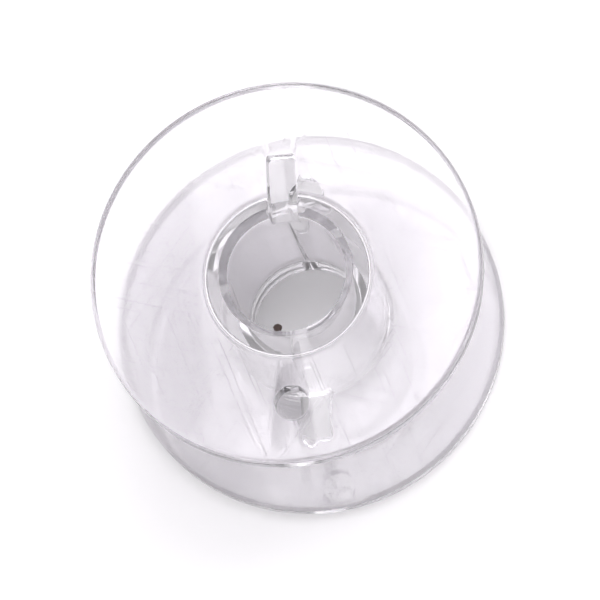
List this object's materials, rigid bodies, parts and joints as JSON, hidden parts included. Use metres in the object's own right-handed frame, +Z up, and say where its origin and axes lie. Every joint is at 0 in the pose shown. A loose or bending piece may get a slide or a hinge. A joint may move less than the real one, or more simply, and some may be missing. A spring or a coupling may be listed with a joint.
{
  "type": "sewing machine bobbin",
  "caption": "Clear moulded sewing machine bobbin: round flanges on a hollow hub that takes the thread, with a spindle bore, and a drive slot and thread hole in each flange.",
  "frame": {"origin": "centre of the lower flange's outer face, on the bore axis", "axes": "+Z up along the bore axis, +Y from the bore axis towards the upper flange's drive slot"},
  "size_m": [0.0205, 0.0204, 0.0115],
  "materials": {
    "clear_plastic": "clear and polished, with a faint cool grey tint"
  },
  "bodies": {
    "root": {"bobbin": "clear_plastic"}
  },
  "joints": []
}
